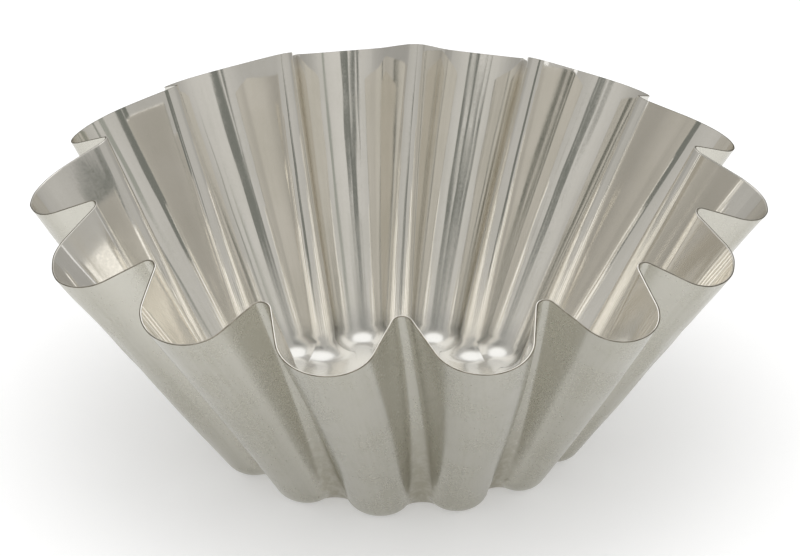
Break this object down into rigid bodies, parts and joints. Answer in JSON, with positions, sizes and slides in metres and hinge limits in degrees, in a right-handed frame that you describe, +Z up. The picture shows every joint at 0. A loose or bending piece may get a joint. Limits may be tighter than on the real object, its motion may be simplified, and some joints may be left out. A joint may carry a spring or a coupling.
{
  "type": "brioche mould",
  "caption": "Fluted tinplate brioche mould: flat floor, flaring wall of rounded lobes and narrow inward folds, and a wavy raw rim.",
  "frame": {"origin": "centre of the underside of the flat floor, on the axis of the bowl", "axes": "+Z up through the open mouth; -Y towards the side seen in front in the picture; at the rim, +X goes through a lobe close to its middle"},
  "size_m": [0.2, 0.1968, 0.0793],
  "materials": {
    "tinplate": "bright tinplate, lightly drawn and rubbed"
  },
  "bodies": {
    "root": {"fluted_tin": "tinplate"}
  },
  "joints": []
}
